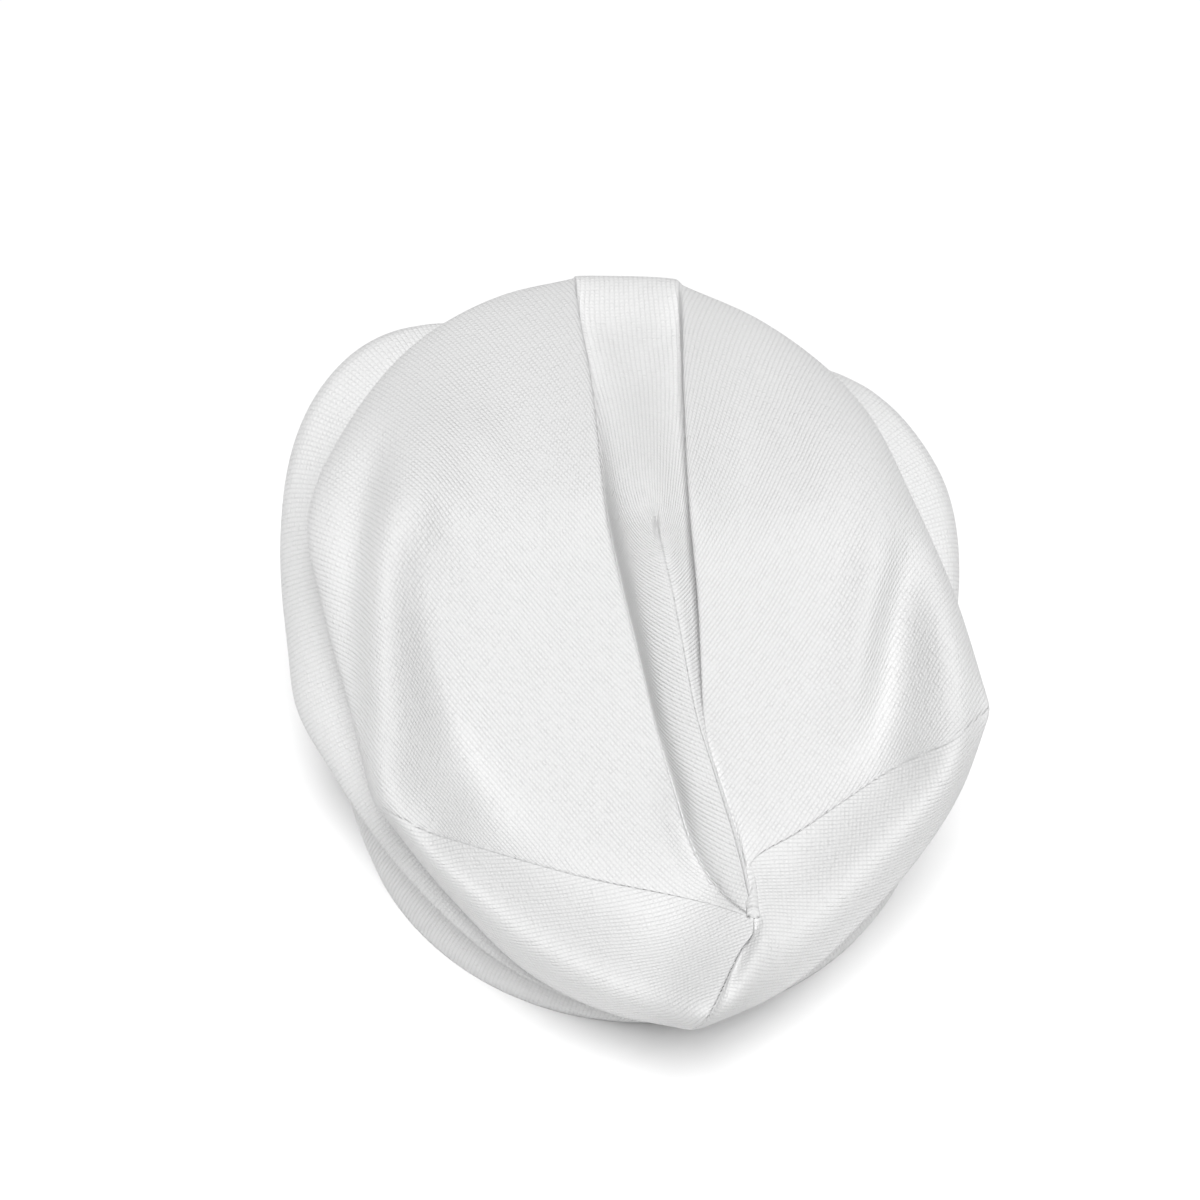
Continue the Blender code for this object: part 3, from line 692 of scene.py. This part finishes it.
def lay_flat(shell, count, rows):
    """Lay the jersey out flat at its real size, with its columns of stitches upward."""
    select_only(shell)
    bpy.ops.object.mode_set(mode="EDIT")
    bpy.ops.mesh.select_all(action="SELECT")
    bpy.ops.uv.unwrap(method="MINIMUM_STRETCH", iterations=UNWRAP_ROUNDS, margin=0.0)
    bpy.ops.object.mode_set(mode="OBJECT")
    mesh = shell.data
    layer = mesh.uv_layers.active
    flat = np.empty(2 * len(mesh.loops))
    layer.uv.foreach_get("vector", flat)
    flat = flat.reshape(-1, 2)
    point_of = np.empty(len(mesh.loops), dtype=np.int32)
    mesh.loops.foreach_get("vertex_index", point_of)

    places = seam_columns()
    lower_right = panel_faces(places["right"], places["near"], rows)
    lower_left = panel_faces(places["near"], count, rows)
    tube = sorted(set(range(len(mesh.polygons))) - set(lower_right) - set(lower_left))

    for faces, direction in ((lower_right, LOWER_RIGHT_KNITTING), (lower_left, LOWER_LEFT_KNITTING)):
        inner_faces = [number for number in faces if number % rows < PANEL_ROWS]
        turn = knitting_angle(mesh, inner_faces, flat, point_of) - direction
        loops = corners_of(mesh, faces)
        flat[loops] = turned(flat[loops], turn) * real_size(mesh, faces, flat)

    loops = corners_of(mesh, tube)
    place = np.zeros((len(mesh.vertices), 2))
    place[point_of[loops]] = flat[loops]
    rims = 1 + np.arange(count) * rows + rows - 1
    up = (place[rims - UPRIGHT_ROWS] - place[rims]).mean(axis=0)
    turn = math.pi / 2 - math.atan2(up[1], up[0])
    flat[loops] = turned(flat[loops], turn) * real_size(mesh, tube, flat)
    layer.uv.foreach_set("vector", flat.ravel())


def wall_shares(count, rows):
    """Share of the full wall at each point: thin where the crown's layers lie close together."""
    columns = np.arange(count)
    places = seam_columns()
    folded = np.minimum(np.abs(columns - places["back"]) - (PLEAT_STATIONS - 1) * PLEAT_STEPS / 2,
                        np.abs(columns - places["near"]))
    side = np.clip(folded / THIN_FADE_COLUMNS, 0.0, 1.0)
    crown_rows = EDGE_ROWS + CENTRE_ROWS
    down = np.clip((np.arange(rows) - crown_rows) / THIN_FADE_ROWS, 0.0, 1.0)
    share = np.maximum(side[:, None], down[None, :])
    return np.concatenate(((THIN_SHARE,), (THIN_SHARE + (1 - THIN_SHARE) * share).ravel()))


def jersey_shell(settings):
    """The jersey as one mesh: outer side, unwrapped, smoothed, and given its wall."""
    points, count, rows = outer_surface()
    faces = []
    for c in range(count):
        here = 1 + c * rows
        beside = 1 + ((c + 1) % count) * rows
        faces.append((0, beside, here))
        for r in range(rows - 1):
            faces.append((here + r, beside + r, beside + r + 1, here + r + 1))
    mesh = bpy.data.meshes.new("beanie")
    mesh.from_pydata([tuple(point) for point in points], [], faces)
    mesh.uv_layers.new(name="cloth")
    shell = bpy.data.objects.new("beanie", mesh)
    bpy.context.scene.collection.objects.link(shell)

    sewn, cut = seam_edges(points, count, rows)
    sewn_points = {number for pair in sewn for number in pair}
    for edge in mesh.edges:
        edge.use_seam = tuple(sorted(edge.vertices)) in cut
    lay_flat(shell, count, rows)

    gap = mesh.attributes.new("seam_gap", "FLOAT", "POINT")
    gap.data.foreach_set("value", [float(i not in sewn_points) for i in range(len(points))])

    thickness = shell.vertex_groups.new(name="wall")
    for number, share in enumerate(wall_shares(count, rows)):
        thickness.add([number], share, "REPLACE")

    select_only(shell)
    smooth = shell.modifiers.new("smooth", "SUBSURF")
    smooth.levels = smooth.render_levels = 1
    bpy.ops.object.modifier_apply(modifier=smooth.name)
    wall = shell.modifiers.new("wall", "SOLIDIFY")
    wall.thickness = settings.wall
    wall.offset = -1
    wall.vertex_group = "wall"
    bpy.ops.object.modifier_apply(modifier=wall.name)
    bpy.ops.object.shade_smooth()
    return shell


class Nodes:
    """Short ways to add and join shader nodes."""

    def __init__(self, tree):
        self.tree = tree

    def add(self, kind, **values):
        node = self.tree.nodes.new(kind)
        for name, value in values.items():
            setattr(node, name, value)
        return node

    def math(self, operation, first, second=None):
        node = self.add("ShaderNodeMath", operation=operation)
        for socket, value in zip(node.inputs, (first, second)):
            if value is None:
                continue
            if isinstance(value, (int, float)):
                socket.default_value = value
            else:
                self.tree.links.new(value, socket)
        return node.outputs[0]

    def noise(self, place, scale, detail):
        node = self.add("ShaderNodeTexNoise")
        node.inputs["Scale"].default_value = scale
        node.inputs["Detail"].default_value = detail
        self.link(place, node.inputs["Vector"])
        return node.outputs["Fac"]

    def bump(self, height, strength, distance, normal=None):
        node = self.add("ShaderNodeBump")
        node.inputs["Strength"].default_value = strength
        node.inputs["Distance"].default_value = distance
        self.link(height, node.inputs["Height"])
        if normal is not None:
            self.link(normal, node.inputs["Normal"])
        return node.outputs[0]

    def link(self, output, socket):
        self.tree.links.new(output, socket)


def stitch_height(nodes, place, settings):
    """Height of the knit, 0 to 1: columns of V stitches, pulled a little out of line and of uneven size."""
    cloth = nodes.add("ShaderNodeUVMap", uv_map="cloth")
    split = nodes.add("ShaderNodeSeparateXYZ")
    nodes.link(cloth.outputs[0], split.inputs[0])
    pull = nodes.noise(place, PULL_SCALE, PULL_DETAIL)
    pulled = nodes.math("MULTIPLY", pull, PULL)
    across = nodes.math("ADD", nodes.math("DIVIDE", split.outputs[0], settings.stitch_width), pulled)
    along = nodes.math("ADD", nodes.math("DIVIDE", split.outputs[1], settings.stitch_height), pulled)

    # From the middle of a column, 0.5, to its sides, 0
    side = nodes.math("PINGPONG", across, 0.5)
    slanted = nodes.math("ADD", along, nodes.math("MULTIPLY", side, STITCH_SLANT))
    column = nodes.math("SINE", nodes.math("MULTIPLY", side, math.pi))
    column = nodes.math("POWER", column, STITCH_FULLNESS)
    bead = nodes.math("SINE", nodes.math("MULTIPLY", slanted, math.pi))
    bead = nodes.math("POWER", nodes.math("ABSOLUTE", bead), STITCH_FULLNESS)
    bead = nodes.math("ADD", nodes.math("MULTIPLY", bead, STITCH_PARTING), 1.0 - STITCH_PARTING)

    number = nodes.add("ShaderNodeCombineXYZ")
    nodes.link(nodes.math("FLOOR", across), number.inputs[0])
    nodes.link(nodes.math("FLOOR", slanted), number.inputs[1])
    chance = nodes.add("ShaderNodeTexWhiteNoise", noise_dimensions="2D")
    nodes.link(number.outputs[0], chance.inputs["Vector"])
    size = nodes.math("MULTIPLY", chance.outputs["Value"], 1.0 - SMALLEST_STITCH)
    size = nodes.math("ADD", size, SMALLEST_STITCH)
    return nodes.math("MULTIPLY", nodes.math("MULTIPLY", column, bead), size)


def jersey_material(settings):
    """White jersey: the knit, fuzz over it, the sewn lines pressed into it, and painted shade between the
    stitches.
    """
    material = bpy.data.materials.new("white_jersey")
    material.use_nodes = True
    nodes = Nodes(material.node_tree)
    shader = material.node_tree.nodes["Principled BSDF"]
    shader.inputs["Roughness"].default_value = settings.roughness
    shader.inputs["Sheen Weight"].default_value = SHEEN
    shader.inputs["Sheen Roughness"].default_value = SHEEN_ROUGHNESS

    place = nodes.add("ShaderNodeTexCoord").outputs["Object"]
    height = stitch_height(nodes, place, settings)
    fuzz = nodes.math("MULTIPLY", nodes.noise(place, FUZZ_SCALE, FUZZ_DETAIL), FUZZ)
    weave = nodes.bump(nodes.math("ADD", height, fuzz), WEAVE_STRENGTH, settings.stitch_depth)

    # The attribute is 0 on a sewn line and 1 beside it
    seam = nodes.add("ShaderNodeAttribute", attribute_name="seam_gap").outputs["Fac"]
    groove = nodes.math("MINIMUM", nodes.math("MULTIPLY", seam, SEAM_SHARPNESS), 1.0)
    sewn = nodes.bump(groove, SEAM_STRENGTH, settings.seam_depth, weave)
    nodes.link(sewn, shader.inputs["Normal"])

    # Painted shade: the yarn's colour is darkened in the hollows between stitches, where shade falls, and
    # kept full on the raised stitches
    painted_stitch_shade = nodes.add("ShaderNodeMix", data_type="RGBA")
    painted_stitch_shade.inputs["A"].default_value = tuple(PAINTED_SHADE_BETWEEN_STITCHES * value for value in settings.colour) + (1.0,)
    painted_stitch_shade.inputs["B"].default_value = tuple(settings.colour) + (1.0,)
    nodes.link(height, painted_stitch_shade.inputs["Factor"])
    nodes.link(painted_stitch_shade.outputs["Result"], shader.inputs["Base Color"])
    return material


class ClothSettings(bpy.types.PropertyGroup):
    """Sizes and finish of the jersey."""

    wall: bpy.props.FloatProperty(
        name="Wall", description="Thickness of the jersey",
        default=0.0018, unit="LENGTH")
    stitch_width: bpy.props.FloatProperty(
        name="Stitch width", description="Distance between two columns of stitches",
        default=0.0012, unit="LENGTH")
    stitch_height: bpy.props.FloatProperty(
        name="Stitch height", description="Distance between two rows of stitches",
        default=0.0012, unit="LENGTH")
    stitch_depth: bpy.props.FloatProperty(
        name="Stitch depth", description="Relief of the stitches",
        default=0.00026, unit="LENGTH")
    seam_depth: bpy.props.FloatProperty(
        name="Seam depth", description="Depth of the sewn lines",
        default=0.0004, unit="LENGTH")
    colour: bpy.props.FloatVectorProperty(
        name="Colour", description="Colour of the yarn",
        default=(0.80, 0.80, 0.80), subtype="COLOR", size=3)
    roughness: bpy.props.FloatProperty(
        name="Roughness", description="Roughness of the yarn",
        default=0.95, min=0.0, max=1.0, subtype="FACTOR")


class StageSettings(bpy.types.PropertyGroup):
    """The camera, the floor and the light."""

    distance: bpy.props.FloatProperty(
        name="Camera distance", description="From the camera to the crown",
        default=0.55, unit="LENGTH")
    lens: bpy.props.FloatProperty(
        name="Lens", description="Focal length in millimetres",
        default=61.05)
    floor_size: bpy.props.FloatProperty(
        name="Floor size", description="Length of the floor's side",
        default=60.0, unit="LENGTH")
    floor_colour: bpy.props.FloatVectorProperty(
        name="Floor colour", description="Colour of the floor",
        default=(0.95, 0.95, 0.95), subtype="COLOR", size=3)
    world_light: bpy.props.FloatProperty(
        name="Light all round", description="Strength of the white surroundings",
        default=0.12)
    key_light: bpy.props.FloatProperty(
        name="Key light", description="Strength of the soft light above the camera",
        default=3.25)
    key_softness: bpy.props.FloatProperty(
        name="Key softness", description="How wide the soft light looks from the hat",
        default=math.radians(24), subtype="ANGLE")
    key_height: bpy.props.FloatProperty(
        name="Key height", description="How high the soft light stands over the floor",
        default=math.radians(70), subtype="ANGLE")


class BEANIE_OT_jersey(bpy.types.Operator):
    """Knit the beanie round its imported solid"""

    bl_idname = "beanie.jersey"
    bl_label = "Jersey"

    def execute(self, context):
        settings = context.scene.beanie_cloth
        shell = jersey_shell(settings)
        shell.data.materials.clear()
        shell.data.materials.append(jersey_material(settings))
        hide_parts(SOLID)
        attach(shell, "root")
        return {"FINISHED"}


class BEANIE_OT_stage(bpy.types.Operator):
    """Set the floor, the light and the camera"""

    bl_idname = "beanie.stage"
    bl_label = "Stage"

    def execute(self, context):
        settings = context.scene.beanie_stage
        build_floor(settings)
        build_light(settings)
        build_camera(settings)
        return {"FINISHED"}


def build_floor(settings):
    """A plain pale floor under the rim."""
    bpy.ops.object.select_all(action="DESELECT")
    bpy.ops.mesh.primitive_plane_add(size=settings.floor_size, location=(0.0, 0.0, 0.0))
    floor = bpy.context.active_object
    floor.name = "floor"
    material = bpy.data.materials.new("floor_paint")
    material.use_nodes = True
    shader = material.node_tree.nodes["Principled BSDF"]
    shader.inputs["Base Color"].default_value = tuple(settings.floor_colour) + (1.0,)
    shader.inputs["Roughness"].default_value = FLOOR_ROUGHNESS
    floor.data.materials.append(material)


def build_light(settings):
    """White surroundings, dimmer than they look, and one soft light above the camera."""
    world = bpy.data.worlds.new("studio")
    world.use_nodes = True
    nodes = Nodes(world.node_tree)
    lighting = world.node_tree.nodes["Background"]
    horizon = nodes.add("ShaderNodeBackground")
    for background, strength in ((lighting, settings.world_light), (horizon, HORIZON_STRENGTH)):
        background.inputs["Color"].default_value = (1.0, 1.0, 1.0, 1.0)
        background.inputs["Strength"].default_value = strength
    seen = nodes.add("ShaderNodeLightPath")
    both = nodes.add("ShaderNodeMixShader")
    nodes.link(seen.outputs["Is Camera Ray"], both.inputs[0])
    nodes.link(lighting.outputs[0], both.inputs[1])
    nodes.link(horizon.outputs[0], both.inputs[2])
    nodes.link(both.outputs[0], world.node_tree.nodes["World Output"].inputs["Surface"])
    bpy.context.scene.world = world
    bpy.context.scene.view_settings.view_transform = "Standard"
    lamp = bpy.data.lights.new("key", "SUN")
    lamp.angle = settings.key_softness
    lamp.energy = settings.key_light
    key = bpy.data.objects.new("key", lamp)
    bpy.context.scene.collection.objects.link(key)
    key.rotation_euler = (math.pi / 2 - settings.key_height, 0.0, 0.0)


def build_camera(settings):
    """Camera square to the plane of the flopped crown."""
    target = CROWN_POINT + FRAME_SHIFT
    data = bpy.data.cameras.new("camera")
    data.lens = settings.lens
    data.sensor_width = SENSOR_WIDTH
    camera = bpy.data.objects.new("camera", data)
    bpy.context.scene.collection.objects.link(camera)
    camera.location = target + settings.distance * OUT
    camera.rotation_euler = (CROWN_LEAN, 0.0, 0.0)
    bpy.context.scene.camera = camera


class BEANIE_PT_panel(bpy.types.Panel):
    """Pieces and sizes of the beanie"""

    bl_idname = "BEANIE_PT_panel"
    bl_label = "Beanie"
    bl_space_type = "VIEW_3D"
    bl_region_type = "UI"
    bl_category = "Beanie"

    def draw(self, context):
        for group in (context.scene.beanie_cloth, context.scene.beanie_stage):
            box = self.layout.box()
            for name in group.__annotations__:
                box.prop(group, name)
        for operator in (BEANIE_OT_jersey, BEANIE_OT_stage):
            self.layout.operator(operator.bl_idname)


CLASSES = (ClothSettings, StageSettings, BEANIE_OT_jersey, BEANIE_OT_stage, BEANIE_PT_panel)


def register():
    """Add the classes and their settings to Blender."""
    for item in CLASSES:
        bpy.utils.register_class(item)
    bpy.types.Scene.beanie_cloth = bpy.props.PointerProperty(type=ClothSettings)
    bpy.types.Scene.beanie_stage = bpy.props.PointerProperty(type=StageSettings)


def unregister():
    """Take the classes and their settings out of Blender."""
    del bpy.types.Scene.beanie_stage
    del bpy.types.Scene.beanie_cloth
    for item in reversed(CLASSES):
        bpy.utils.unregister_class(item)


def main():
    """Dress the beanie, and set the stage."""
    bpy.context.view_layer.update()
    register()
    bpy.ops.beanie.jersey()
    bpy.ops.beanie.stage()


if __name__ == "__main__":
    main()
